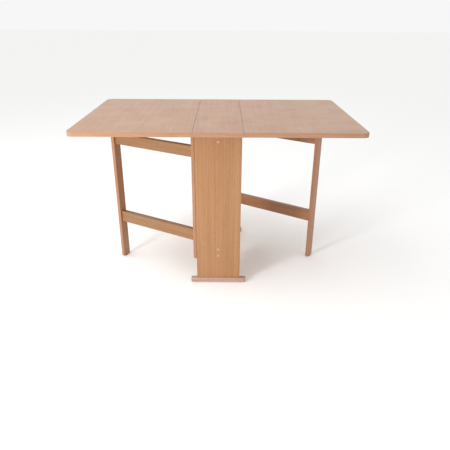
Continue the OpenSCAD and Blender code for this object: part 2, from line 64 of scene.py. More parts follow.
LOG = logging.getLogger("table")

RECORD = frame["record"]
BODY = {node: body for body, nodes in RECORD["behaviour"]["bodies"].items() for node in nodes}
MM = 0.001
FLAT_DOT = 0.999  # two facets closer in direction than this belong to one flat face


# ---------- small tools ----------


def linear(hex_colour: str) -> tuple[float, float, float, float]:
    """Turns an sRGB hex colour into the linear colour that a shader socket takes.

    Args:
        hex_colour: Six hex digits after a hash sign.

    Returns:
        Red, green, blue and an alpha of one.
    """
    parts = [int(hex_colour[i : i + 2], 16) / 255 for i in (1, 3, 5)]
    light = [c / 12.92 if c <= 0.04045 else ((c + 0.055) / 1.055) ** 2.4 for c in parts]
    return (light[0], light[1], light[2], 1.0)


def socket(sockets: Iterable[NodeSocket], key: str) -> NodeSocket:
    """Finds a node's socket by its identifier or, failing that, its name."""
    found = [s for s in sockets if s.identifier == key] or [s for s in sockets if s.name == key]
    return found[0]


def add(tree: NodeTree, kind: str, links: dict[str, Any] | None = None, **settings: Any) -> Node:
    """Adds a node to a tree with its settings, constant inputs and links.

    Args:
        tree: The material's or modifier's node tree.
        kind: Blender's name for the node type.
        links: Input key to a constant, or to the output socket that feeds it.
        **settings: Attributes of the node itself.

    Returns:
        The node.
    """
    node = tree.nodes.new(kind)
    for name, value in settings.items():
        setattr(node, name, value)
    for key, value in (links or {}).items():
        target = socket(node.inputs, key)
        if isinstance(value, NodeSocket):
            tree.links.new(value, target)
        else:
            target.default_value = value
    return node


def new_object(name: str, data: ID) -> Object:
    """Links a mesh, light or camera into the scene as an object at the origin."""
    obj = bpy.data.objects.new(name, data)
    bpy.context.scene.collection.objects.link(obj)
    return obj


def mesh_from(name: str, bm: BMesh, place: Matrix | None = None) -> Mesh:
    """Turns a bmesh into a mesh and frees it.

    Args:
        name: The mesh's name.
        bm: The shape, in its own frame.
        place: Where the shape stands in the row frame.

    Returns:
        The mesh, in the row frame.
    """
    if place is not None:
        bm.transform(place)
    mesh = bpy.data.meshes.new(name)
    bm.to_mesh(mesh)
    bm.free()
    return mesh


def smooth_curved_faces(bm: BMesh) -> None:
    """Shades a shape's rounded strips smooth, and leaves the faces square to an axis flat."""
    for face in bm.faces:
        face.smooth = max(abs(part) for part in face.normal) < FLAT_DOT


def plain_mesh(obj: Object) -> Object:
    """Applies an object's modifiers and leaves it with a plain mesh.

    Args:
        obj: An object with live modifiers.

    Returns:
        The same object.
    """
    graph = bpy.context.evaluated_depsgraph_get()
    made = bpy.data.meshes.new_from_object(obj.evaluated_get(graph), depsgraph=graph)
    obj.modifiers.clear()
    old = obj.data
    obj.data = made
    bpy.data.meshes.remove(old)
    return obj


def soft_box(low: Vector, high: Vector, radius: float, steps: int = 3) -> BMesh:
    """A box with rounded edges and corners.

    Args:
        low: Lowest corner.
        high: Highest corner.
        radius: Radius of the edges.
        steps: Facets across each rounded edge.

    Returns:
        The box, in the frame of its corners.
    """
    bm = bmesh.new()
    bmesh.ops.create_cube(bm, size=1.0)
    size = high - low
    bm.transform(Matrix.Translation((low + high) / 2) @ Matrix.Diagonal((*size, 1.0)))
    bmesh.ops.bevel(
        bm, geom=list(bm.edges), offset=radius, segments=steps, profile=0.5, affect="EDGES"
    )
    bm.normal_update()
    smooth_curved_faces(bm)
    return bm


def lathe(profile: Sequence[tuple[float, float]], steps: int = 32) -> BMesh:
    """Turns a profile about Z into a closed shape.

    Args:
        profile: Radius and height of each point, from the axis at one end to the axis at the other.
        steps: Facets round the axis.

    Returns:
        The shape, with its normals outwards.
    """
    bm = bmesh.new()
    rings = []
    for r, z in profile:
        if r == 0:
            rings.append([bm.verts.new((0, 0, z))])
            continue
        angles = [2 * math.pi * k / steps for k in range(steps)]
        rings.append([bm.verts.new((r * math.cos(a), r * math.sin(a), z)) for a in angles])
    for a, b in zip(rings, rings[1:]):
        for k in range(steps):
            j = (k + 1) % steps
            corners = [a[k % len(a)], a[j % len(a)], b[j % len(b)], b[k % len(b)]]
            face = bm.faces.new(list(dict.fromkeys(corners)))
            face.smooth = True
    bmesh.ops.recalc_face_normals(bm, faces=bm.faces)
    return bm


@dataclass
class Outline:
    """Outline of a board from above, with its own rounding along each side and at each corner.

    Sides and corners count counter-clockwise: side 0 is the front one, and corner 0 starts it.

    Attributes:
        low: Lowest corner in X and Y.
        high: Highest corner in X and Y.
        corners: Radius of each corner from above. Zero keeps a corner square.
        edges: Radius along each side's edges.
        arc_steps: Facets of each rounded corner.
        taper: Length over which the rounding changes beside a square corner.
    """

    low: Vector
    high: Vector
    corners: Sequence[float]
    edges: Sequence[float]
    arc_steps: int = 12
    taper: float = 1.0 * MM

    def points(self, inset: float = 0.0) -> list[tuple[Vector, float]]:
        """Works out the outline at an inset.

        Args:
            inset: How far the outline is moved inwards.

        Returns:
            Each point and the radius of the edge there, counter-clockwise.
        """
        ways = [Vector((1, 0)), Vector((0, 1)), Vector((-1, 0)), Vector((0, -1))]
        found = []
        for k, radius in enumerate(self.corners):
            before, after = self.edges[k - 1], self.edges[k]
            inwards = ways[k] - ways[k - 1]
            x = self.low.x if inwards.x > 0 else self.high.x
            y = self.low.y if inwards.y > 0 else self.high.y
            corner = Vector((x, y))
            if radius == 0:
                corner = corner + inwards * inset
                found.append((corner - ways[k - 1] * self.taper, before))
                found.append((corner, min(before, after)))
                found.append((corner + ways[k] * self.taper, after))
                continue
            centre = corner + inwards * radius
            for i in range(self.arc_steps + 1):
                a = math.pi * (1 + k / 2 + i / self.arc_steps / 2)
                found.append((centre + (radius - inset) * Vector((math.cos(a), math.sin(a))), after))
        return found

    def ring(self, part: float, height: float, drop: float) -> list[Vector]:
        """One ring of points round the outline.

        Args:
            part: Inset, in edge radii.
            height: Height of the face that the edge belongs to.
            drop: Distance from that face, in edge radii.

        Returns:
            The points of the ring.
        """
        radii = [radius for _, radius in self.points()]
        outlines = {radius: self.points(part * radius) for radius in set(radii)}
        return [
            Vector((*outlines[radius][i][0], height + drop * radius)) for i, radius in enumerate(radii)
        ]

    def rounded_edge(self, height: float, upper: bool, steps: int = 4) -> list[list[Vector]]:
        """Rings of the rounded edge between the side and a face, going up.

        Args:
            height: Height of the face.
            upper: Whether it is the upper face.
            steps: Facets of the rounding.

        Returns:
            The rings.
        """
        turns = [math.pi / 2 * i / steps for i in range(steps + 1)]
        if upper:
            return [self.ring(1 - math.cos(a), height, math.sin(a) - 1) for a in turns]
        return [self.ring(1 - math.sin(a), height, 1 - math.cos(a)) for a in turns]


def loft(rings: Sequence[list[Vector]], closed: bool) -> BMesh:
    """Joins rings of points into a skin, and keeps the distances run as a UV map.

    Args:
        rings: Rings of as many points each.
        closed: Whether the last ring joins the first, as in a band. Otherwise both ends are capped.

    Returns:
        The shape, with a UV map named run: metres round the ring, and metres from ring to ring.
    """
    bm = bmesh.new()
    run_map = bm.loops.layers.uv.new("run")
    made = [[bm.verts.new(p) for p in ring] for ring in rings]
    count = len(rings[0])
    runs, ups = [0.0], [0.0]
    for k in range(count):
        runs.append(runs[-1] + (rings[0][(k + 1) % count] - rings[0][k]).length)
    for a, b in zip(rings, [*rings[1:], rings[0]]):
        ups.append(ups[-1] + (b[0] - a[0]).length)
    for i in range(len(made) if closed else len(made) - 1):
        a, b = made[i], made[(i + 1) % len(made)]
        for k in range(count):
            j = (k + 1) % count
            face = bm.faces.new((a[k], a[j], b[j], b[k]))
            places = ((k, i), (k + 1, i), (k + 1, i + 1), (k, i + 1))
            for corner, (across, up) in zip(face.loops, places):
                corner[run_map].uv = (runs[across], ups[up])
    if not closed:
        bm.faces.new(made[0][::-1])
        bm.faces.new(made[-1])
    bmesh.ops.recalc_face_normals(bm, faces=bm.faces)
    smooth_curved_faces(bm)
    return bm


@dataclass
class Island:
    """One separate solid of a CAD node.

    Attributes:
        points: Its vertices.
    """

    points: list[Vector]

    @property
    def low(self) -> Vector:
        """Lowest corner of its box."""
        return Vector([min(p[i] for p in self.points) for i in range(3)])

    @property
    def high(self) -> Vector:
        """Highest corner of its box."""
        return Vector([max(p[i] for p in self.points) for i in range(3)])

    @property
    def middle(self) -> Vector:
        """Middle of its box."""
        return (self.low + self.high) / 2


def mean(points: Sequence[Vector]) -> Vector:
    """Average of some points."""
    return sum(points, Vector()) / len(points)


def spread(points: Sequence[Vector]) -> float:
    """Largest distance of some points from their average."""
    middle = mean(points)
    return max((p - middle).length for p in points)


def islands(node: str) -> list[Island]:
    """Splits a CAD node into its separate solids.

    Args:
        node: The node's name.

    Returns:
        One island for each solid, in the order of their first vertices.
    """
    mesh = frame["nodes"][node].data
    key_of = {}
    home = []
    for v in mesh.vertices:
        key = tuple(round(c, 6) for c in v.co)
        home.append(key_of.setdefault(key, len(key_of)))
    leader = list(range(len(key_of)))

    def root(i: int) -> int:
        """Finds the vertex that stands for a whole solid."""
        while leader[i] != i:
            leader[i] = leader[leader[i]]
            i = leader[i]
        return i

    for polygon in mesh.polygons:
        first = root(home[polygon.vertices[0]])
        for v in polygon.vertices[1:]:
            leader[root(home[v])] = first
    groups: dict[int, list[Vector]] = {}
    for key, i in key_of.items():
        groups.setdefault(root(i), []).append(Vector(key))
    return [Island(points) for points in groups.values()]


# ---------- finishes ----------


class Grain(Enum):
    """Which way the grain of a wooden piece runs, before the piece is turned."""

    ALONG_X = 0
    ALONG_Y = 1
    UPRIGHT = 2
    ALONG_EDGE = 3

    @property
    def axis(self) -> int:
        """Axis of the pattern's coordinates that the grain runs along."""
        return 0 if self is Grain.ALONG_EDGE else self.value

    @property
    def lay_along_z(self) -> tuple[float, float, float]:
        """Turn that lays the grain along Z."""
        quarter = math.pi / 2
        return {0: (0.0, -quarter, 0.0), 1: (quarter, 0.0, 0.0), 2: (0.0, 0.0, 0.0)}[self.axis]


def start_material(name: str) -> Material:
    """Makes a material with an empty node tree."""
    made = bpy.data.materials.new(name)
    made.use_nodes = True
    made.node_tree.nodes.clear()
    return made


@dataclass(frozen=True)
class Figure:
    """One layer of streaks or flecks in wood.

    Attributes:
        width: Size across the grain.
        length: Size along the grain.
        colour: What it tints the wood towards.
        strength: How much of that colour it brings.
        start: Noise level at which it begins to show.
        full: Noise level at which it shows fully.
        detail: Octaves of the noise.
    """

    width: float
    length: float
    colour: str
    strength: float
    start: float = 0.38
    full: float = 0.68
    detail: float = 3.0


@dataclass(frozen=True)
class Wood:
    """Beech, real or printed, with its figure, streaks and ray flecks.

    Attributes:
        name: What the material is.
        pale: Ground colour.
        layers: Streaks and flecks over it, from the broadest to the finest. Their sum lifts the grain.
        worn: Colour of rubbed edges.
        wear: How much of it edges take.
        roughness: Roughness of the surface.
        coat: Weight of the clear lacquer.
        relief: Height of the grain that can be felt.
        rings: Spacing of growth rings, or zero for a printed sheet, which has none.
        late_wood: Colour of the dark side of each ring.
        ends: How much of it the faces across the grain take.
    """

    name: str
    pale: str
    layers: tuple[Figure, ...]
    worn: str
    wear: float = 0.2
    roughness: float = 0.42
    coat: float = 0.0
    relief: float = 0.04 * MM
    rings: float = 0.0
    late_wood: str = "#9C6F48"
    ends: float = 0.0

    def material(
        self, grain: Grain, turn: float = 0.0, tint: str = "#FFFFFF", shift: float = 0.0
    ) -> Material:
        """Builds the wood's shader.

        Args:
            grain: Way of the grain.
            turn: Angle about Z of the frame that the grain is given in, in radians.
            tint: Colour that multiplies the whole piece, because no two pieces match. The golden tint also darkens
                its pieces as painted shade.
            shift: Distance by which the pattern is moved, so that pieces differ.

        Returns:
            The material.
        """
        made = start_material(f"{self.name}, {grain.name.lower()}, {math.degrees(turn):.0f}, {tint[1:]}")
        tree = made.node_tree
        where = add(tree, "ShaderNodeTexCoord")
        if grain is Grain.ALONG_EDGE:
            place = add(tree, "ShaderNodeUVMap", uv_map="run").outputs["UV"]
        else:
            unturned = {"Vector": where.outputs["Object"], "Angle": -turn}
            place = add(tree, "ShaderNodeVectorRotate", unturned, rotation_type="Z_AXIS").outputs[0]
        masks = []
        for layer in self.layers:
            scale = [1 / layer.width] * 3
            scale[grain.axis] = 1 / layer.length
            fitted = {"Vector": place, "Scale": scale, "Location": [shift / layer.width] * 3}
            spot = add(tree, "ShaderNodeMapping", fitted).outputs[0]
            look = {"Vector": spot, "Scale": 1.0, "Detail": layer.detail, "Roughness": 0.6}
            noise = add(tree, "ShaderNodeTexNoise", look | {"Distortion": 0.4}).outputs[0]
            span = {"Value": noise, "From Min": layer.start, "From Max": layer.full}
            shown = add(
                tree,
                "ShaderNodeMapRange",
                span | {"To Max": layer.strength},
                interpolation_type="SMOOTHSTEP",
            ).outputs[0]
            masks.append((shown, layer.colour))
        if self.rings:
            masks.append((self._growth_rings(tree, place, grain, shift), self.late_wood))
        if self.ends:
            masks.append((self._end_faces(tree, where.outputs["Normal"], grain, turn), self.late_wood))
        masks.append((self._worn_edges(tree), self.worn))
        colour = linear(self.pale)
        for part, over in masks:
            mixed = {"Factor_Float": part, "A_Color": colour, "B_Color": linear(over)}
            layered = add(tree, "ShaderNodeMix", mixed, data_type="RGBA")
            colour = socket(layered.outputs, "Result_Color")
        if tint != "#FFFFFF":
            mixed = {"Factor_Float": 1.0, "A_Color": colour, "B_Color": linear(tint)}
            tinted = add(tree, "ShaderNodeMix", mixed, data_type="RGBA", blend_type="MULTIPLY")
            colour = socket(tinted.outputs, "Result_Color")
        self._finish(tree, where.outputs["Object"], colour, masks[0][0], masks[len(self.layers) - 1][0])
        return made

    def _growth_rings(
        self, tree: NodeTree, place: NodeSocket, grain: Grain, shift: float
    ) -> NodeSocket:
        """Growth rings round a pith outside the piece, which give flame figure on its faces.

        Args:
            tree: The material's tree.
            place: Coordinates of the pattern.
            grain: Way of the grain.
            shift: Distance by which the pith is moved.

        Returns:
            Share of the late wood.
        """
        squeezed = [1.0, 1.0, 1.0]
        squeezed[grain.axis] = 0.06  # rings change slowly along the grain
        pith_x, pith_y = 0.07, 0.045
        laid = {"Vector": place, "Scale": squeezed, "Rotation": grain.lay_along_z}
        pith = {"Location": (pith_x + shift, pith_y - shift, 0.0)}
        spot = add(tree, "ShaderNodeMapping", laid | pith).outputs[0]
        wave_rate = 20  # radians that the texture's wave runs through in each unit
        # Beech rings are 2 to 3 mm apart, and are drawn wider so that they show at a distance
        look = {
            "Vector": spot,
            "Scale": 2 * math.pi / (wave_rate * self.rings),
            "Distortion": 2.2,
            "Detail": 2.0,
            "Detail Scale": 6.0,
        }
        wave = add(
            tree, "ShaderNodeTexWave", look, wave_type="RINGS", rings_direction="Z", wave_profile="SAW"
        ).outputs["Fac"]
        span = {"Value": wave, "From Min": 0.35, "From Max": 1.0, "To Max": 0.3}
        return add(tree, "ShaderNodeMapRange", span).outputs[0]

    def _end_faces(self, tree: NodeTree, normal: NodeSocket, grain: Grain, turn: float) -> NodeSocket:
        """Faces across the grain, whose open pores look darker.

        Args:
            tree: The material's tree.
            normal: Object normal.
            grain: Way of the grain.
            turn: Angle of the grain's frame about Z.

        Returns:
            Share of the late wood.
        """
        along = Vector([1.0 if i == grain.axis else 0.0 for i in range(3)])
        along.rotate(Euler((0, 0, turn)))
        pair = {"Vector": normal, "Vector_001": along}
        facing_end = add(tree, "ShaderNodeVectorMath", pair, operation="DOT_PRODUCT").outputs["Value"]
        size = add(tree, "ShaderNodeMath", {"Value": facing_end}, operation="ABSOLUTE").outputs[0]
        span = {"Value": size, "From Min": 0.6, "From Max": 0.95, "To Max": self.ends}
        return add(tree, "ShaderNodeMapRange", span).outputs[0]

    def _worn_edges(self, tree: NodeTree) -> NodeSocket:
        """Edges and corners, which rubbing turns pale.

        Args:
            tree: The material's tree.

        Returns:
            Share of the worn colour.
        """
        rounded = add(tree, "ShaderNodeBevel", {"Radius": 2.2 * MM}, samples=4).outputs[0]
        flat = add(tree, "ShaderNodeNewGeometry").outputs["Normal"]
        pair = {"Vector": rounded, "Vector_001": flat}
        same = add(tree, "ShaderNodeVectorMath", pair, operation="DOT_PRODUCT").outputs["Value"]
        span = {"Value": same, "From Min": 0.995, "From Max": 0.86, "To Max": self.wear}
        return add(tree, "ShaderNodeMapRange", span).outputs[0]

    def _finish(
        self,
        tree: NodeTree,
        place: NodeSocket,
        colour: NodeSocket,
        broad: NodeSocket,
        fine: NodeSocket,
    ) -> None:
        """Adds the surface: uneven gloss, grain that can be felt, and lacquer.

        Args:
            tree: The material's tree.
            place: Object coordinates.
            colour: The wood's colour.
            broad: Share of the broadest figure.
            fine: Share of the finest flecks.
        """
        hand = 110 * MM  # handling polishes some patches and dulls others
        look = {"Vector": place, "Scale": 1 / hand, "Detail": 3.0, "Roughness": 0.6}
        smudge = add(tree, "ShaderNodeTexNoise", look).outputs[0]
        span = {"Value": smudge, "From Min": 0.3, "From Max": 0.7}
        ends = {"To Min": self.roughness - 0.06, "To Max": self.roughness + 0.08}
        rough = add(tree, "ShaderNodeMapRange", span | ends).outputs[0]
        height = add(
            tree, "ShaderNodeMath", {"Value": broad, "Value_001": fine}, operation="ADD"
        ).outputs[0]
        lift = {"Height": height, "Distance": self.relief, "Strength": 0.7}
        bump = add(tree, "ShaderNodeBump", lift, invert=True).outputs[0]
        look = {"Base Color": colour, "Roughness": rough, "Normal": bump, "IOR": 1.5}
        coat = {"Coat Weight": self.coat, "Coat Roughness": 0.28} if self.coat else {}
        shader = add(tree, "ShaderNodeBsdfPrincipled", look | coat)
        add(tree, "ShaderNodeOutputMaterial", {"Surface": shader.outputs[0]})


class Base(Enum):
    """What a small fitting is made of, as the shader setting that tells it apart."""

    METAL = ("Metallic", 1.0)
    PLASTIC = ("IOR", 1.46)


@dataclass(frozen=True)
class Fitting:
    """Plated steel or moulded plastic of a small fitting.

    Attributes:
        name: What the material is.
        base: Metal or plastic.
        colour: Colour of the surface.
        shade: Colour of dull or rubbed patches.
        roughness: Roughness of the surface.
        patch: Size of the patches.
        grit: Spacing of the fine texture.
        relief: Height of the fine texture.
    """

    name: str
    base: Base
    colour: str
    shade: str
    roughness: float
    patch: float
    grit: float
    relief: float = 0.02 * MM

    def material(self) -> Material:
        """Builds the fitting's shader."""
        made = start_material(self.name)
        tree = made.node_tree
        where = add(tree, "ShaderNodeTexCoord").outputs["Object"]
        look = {"Vector": where, "Scale": 1 / self.patch, "Detail": 4.0, "Roughness": 0.6}
        mottle = add(tree, "ShaderNodeTexNoise", look).outputs[0]
        span = {"Value": mottle, "From Min": 0.4, "From Max": 0.7, "To Max": 0.7}
        part = add(tree, "ShaderNodeMapRange", span).outputs[0]
        mixed = {"Factor_Float": part, "A_Color": linear(self.colour), "B_Color": linear(self.shade)}
        mottled = add(tree, "ShaderNodeMix", mixed, data_type="RGBA")
        colour = socket(mottled.outputs, "Result_Color")
        look = {"Vector": where, "Scale": 1 / self.grit, "Detail": 2.0, "Roughness": 0.5}
        grit = add(tree, "ShaderNodeTexNoise", look).outputs[0]
        ends = {"Value": grit, "To Min": self.roughness - 0.08, "To Max": self.roughness + 0.1}
        rough = add(tree, "ShaderNodeMapRange", ends).outputs[0]
        lift = {"Height": grit, "Distance": self.relief, "Strength": 0.5}
        bump = add(tree, "ShaderNodeBump", lift).outputs[0]
        look = {"Base Color": colour, "Roughness": rough, "Normal": bump}
        shader = add(tree, "ShaderNodeBsdfPrincipled", look | dict([self.base.value]))
        add(tree, "ShaderNodeOutputMaterial", {"Surface": shader.outputs[0]})
        return made


# Melamine laminate printed as beech: an even, slightly pink tan with faint straight streaks, satin
LAMINATE = Wood(
    "beech laminate", "#B69177",
    (
        Figure(60 * MM, 900 * MM, "#AB846A", 0.35),
        Figure(7 * MM, 500 * MM, "#A57A5F", 0.42),
        # Printed pores are 0.3 mm by 4 mm, and are drawn larger so that they show at a distance
        Figure(2.2 * MM, 22 * MM, "#976D51", 0.28, 0.52, 0.7, 2.0),
    ),
    worn="#BF9B81", wear=0.1, roughness=0.40, relief=0.02 * MM,
)
# Plastic edge band printed as beech: warmer than the laminate, its streaks run along the edge
EDGE_BAND = Wood(
    "beech edge band", "#AA8164",
    (
        Figure(20 * MM, 400 * MM, "#9E7253", 0.5),
        Figure(3 * MM, 120 * MM, "#916648", 0.45),
    ),
    worn="#B39378", wear=0.3, roughness=0.42, relief=0.02 * MM,
)
# Paper foil printed as beech on panels and stretchers: warm orange brown with straight upright streaks
PANEL_FOIL = Wood(
    "beech foil", "#A87B54",
    (
        Figure(38 * MM, 900 * MM, "#9B6D44", 0.5),
        Figure(8 * MM, 600 * MM, "#92623A", 0.45),
        Figure(2.2 * MM, 24 * MM, "#80532F", 0.3, 0.52, 0.7, 2.0),
    ),
    worn="#B28B65", wear=0.25, roughness=0.45, relief=0.02 * MM,
)
# Planed beech under clear lacquer: growth rings, lively streaks, dark flecks and darker end grain
SOLID_BEECH = Wood(
    "lacquered beech", "#A8815E",
    (
        Figure(24 * MM, 420 * MM, "#976B46", 0.55),
        Figure(4 * MM, 260 * MM, "#895D3A", 0.4),
        # Ray flecks are 0.5 mm by 3 mm, and are drawn larger so that they show at a distance
        Figure(1.8 * MM, 11 * MM, "#75492A", 0.5, 0.56, 0.7, 1.0),
    ),
    worn="#B49271", wear=0.35, roughness=0.46, coat=0.3, relief=0.05 * MM, rings=6 * MM, ends=0.45,
)
# Sapwood beech under clear lacquer: paler and pinker than the gates, with the same rings and flecks
PALE_BEECH = replace(SOLID_BEECH, name="pale lacquered beech", pale="#BC9E8F", late_wood="#967461")
# Turned beech without lacquer: dull and dry, with darker ends
RAW_BEECH = Wood(
    "raw beech", "#B08E69",
    (Figure(8 * MM, 90 * MM, "#A07953", 0.5), Figure(2 * MM, 14 * MM, "#896441", 0.4)),
    worn="#BB9D7C", wear=0.1, roughness=0.7, relief=0.08 * MM, ends=0.4,
)
# Brass-plated steel, pressed and barrel plated: yellow, satin, with duller handled patches
HINGE_BRASS = Fitting("brass-plated steel", Base.METAL, "#B39C70", "#8A7450", 0.38, 5 * MM, 0.8 * MM)
# Zinc plate over pressed steel: pale grey with a faint crystal mottle
ZINC = Fitting("bright zinc plate", Base.METAL, "#BFC2C6", "#8F9397", 0.34, 4 * MM, 0.8 * MM)
# Zinc plate over cold-formed screw steel: a little darker than the brackets
SCREW_STEEL = Fitting("zinc-plated screw steel", Base.METAL, "#AEB1B5", "#7C8084", 0.36, 2 * MM, 0.6 * MM)
# Moulded polyethylene in a beech colour: a soft sheen over a matt grain
CAP_PLASTIC = Fitting(
    "beech-coloured cap plastic", Base.PLASTIC, "#BC9270", "#B08562", 0.5, 9 * MM, 0.6 * MM, 0.03 * MM
)
# Moulded polypropylene, dark brown and matt, with scuffed paler patches
GLIDE_PLASTIC = Fitting(
    "dark glide plastic", Base.PLASTIC, "#3A332E", "#57504A", 0.55, 6 * MM, 0.7 * MM, 0.04 * MM
)
# Tints that tell one beech piece from the next. The golden one is yellower, and it is also darker as painted shade
# of the table top's shadow.
GOLDEN_AND_SHADED = "#DCD2B2"
PINKISH = "#FCEEEE"


# ---------- pieces ----------


def finish_piece(obj: Object, node: str, material: Material) -> None:
    """Gives a piece its material and the body of the CAD node that it stands for, and hides that node.

    Args:
        obj: The piece, at the origin.
        node: The CAD node.
        material: Its finish.
    """
    obj.data.materials.clear()
    obj.data.materials.append(material)
    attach(obj, BODY[node])
    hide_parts(node)
    LOG.info("%s: %d faces, rides on %s", obj.name, len(obj.data.polygons), BODY[node])


def make_piece(
    node: str, ending: str, shape: BMesh, material: Material, place: Matrix | None = None
) -> None:
    """Makes a finished piece that stands for a CAD node.

    Args:
        node: The CAD node.
        ending: Added to the node's name for the piece's.
        shape: The piece.
        material: Its finish.
        place: Where the shape stands in the row frame.
    """
    finish_piece(new_object(f"{node}_{ending}", mesh_from(node, shape, place)), node, material)


def dress(node: str, material: Material) -> None:
    """Gives a CAD node that keeps its own shape a material.

    Args:
        node: The node's name.
        material: Its finish.
    """
    data = frame["nodes"][node].data
    data.materials.clear()
    data.materials.append(material)
    LOG.info("%s: dressed", node)


def eased_copy(node: str, radius: float, material: Material) -> None:
    """Makes a piece from a CAD node's own shape, with its sharp edges eased.

    Args:
        node: The node's name.
        radius: Width of the easing.
        material: Its finish.
    """
    bm = bmesh.new()
    bm.from_mesh(frame["nodes"][node].data)
    bmesh.ops.remove_doubles(bm, verts=bm.verts, dist=1e-6)
    bmesh.ops.dissolve_limit(bm, angle_limit=math.radians(0.5), verts=bm.verts, edges=bm.edges)
    obj = new_object(node + "_eased", mesh_from(node + "_eased", bm))
    ease = obj.modifiers.new("eased edges", "BEVEL")
    ease.width = radius
    ease.segments = 2
    ease.limit_method = "ANGLE"
    ease.angle_limit = math.radians(40)
    plain_mesh(obj)
    for polygon in obj.data.polygons:
        polygon.use_smooth = False
    finish_piece(obj, node, material)


class Copies:
    """Places copies of one small piece with a Geometry Nodes tree.

    Attributes:
        tree: The node tree. Its inputs are the places, the piece, its scale and its finish.
    """

    def __init__(self) -> None:
        """Builds the tree once for all kinds of copies."""
        tree = bpy.data.node_groups.new("copies at places", "GeometryNodeTree")
        face = tree.interface
        for name, kind in (
            ("Places", "Geometry"),
            ("Piece", "Object"),
            ("Scale", "Float"),
            ("Turn spread", "Float"),
            ("Seed", "Int"),
            ("Finish", "Material"),
        ):
            face.new_socket(name, in_out="INPUT", socket_type="NodeSocket" + kind)
        face.new_socket("Geometry", in_out="OUTPUT", socket_type="NodeSocketGeometry")
        given = add(tree, "NodeGroupInput")
        turn = add(tree, "GeometryNodeInputNamedAttribute", {"Name": "turn"}, data_type="FLOAT_VECTOR")
        rotation = add(tree, "FunctionNodeEulerToRotation", {"Euler": turn.outputs["Attribute"]})
        piece = add(tree, "GeometryNodeObjectInfo", {"Object": given.outputs["Piece"]})
        placed = add(
            tree,
            "GeometryNodeInstanceOnPoints",
            {
                "Points": given.outputs["Places"],
                "Instance": piece.outputs["Geometry"],
                "Rotation": rotation.outputs[0],
                "Scale": given.outputs["Scale"],
            },
        )
        spread = {"Max_001": given.outputs["Turn spread"], "Seed": given.outputs["Seed"]}
        chance = add(tree, "FunctionNodeRandomValue", spread, data_type="FLOAT").outputs[1]
        about = add(tree, "ShaderNodeCombineXYZ", {"Z": chance}).outputs[0]
        spin = add(tree, "FunctionNodeEulerToRotation", {"Euler": about}).outputs[0]
        turned = add(
            tree, "GeometryNodeRotateInstances", {"Instances": placed.outputs[0], "Rotation": spin}
        )
        real = add(tree, "GeometryNodeRealizeInstances", {"Geometry": turned.outputs[0]})
        dressed = add(
            tree,
            "GeometryNodeSetMaterial",
            {"Geometry": real.outputs[0], "Material": given.outputs["Finish"]},
        )
        add(tree, "NodeGroupOutput", {"Geometry": dressed.outputs[0]})
        self.tree = tree

    def place(
        self,
        node: str,
        ending: str,
        shape: BMesh,
        places: Sequence[tuple[Vector, Euler]],
        material: Material,
        scale: float = 1.0,
        turn_spread: float = 0.0,
    ) -> None:
        """Makes one finished piece of many copies, which stands for a CAD node.

        Args:
            node: The CAD node.
            ending: Added to the node's name for the piece's.
            shape: The small piece, in its own frame.
            places: Position and turn of each copy.
            material: Finish of the copies.
            scale: Size of the copies against the shape.
            turn_spread: Largest turn of a copy about its own axis, in radians.
        """
        name = f"{node}_{ending}"
        pattern = new_object(name + "_pattern", mesh_from(name + "_pattern", shape))
        mesh = bpy.data.meshes.new(name)
        mesh.from_pydata([p for p, _ in places], [], [])
        turns = mesh.attributes.new("turn", "FLOAT_VECTOR", "POINT")
        for item, (_, turn) in zip(turns.data, places):
            item.vector = turn
        obj = new_object(name, mesh)
        modifier = obj.modifiers.new("copies", "NODES")
        modifier.node_group = self.tree
        values = {
            "Piece": pattern,
            "Scale": scale,
            "Finish": material,
            "Turn spread": turn_spread,
            "Seed": len(places),
        }
        for item in self.tree.interface.items_tree:
            if item.in_out == "INPUT" and item.name in values:
                modifier[item.identifier] = values[item.name]
        plain_mesh(obj)
        bpy.data.objects.remove(pattern)
        finish_piece(obj, node, material)


def facing(direction: Vector) -> Euler:
    """The turn that takes +Z to a direction."""
    return direction.to_track_quat("Z", "Y").to_euler()


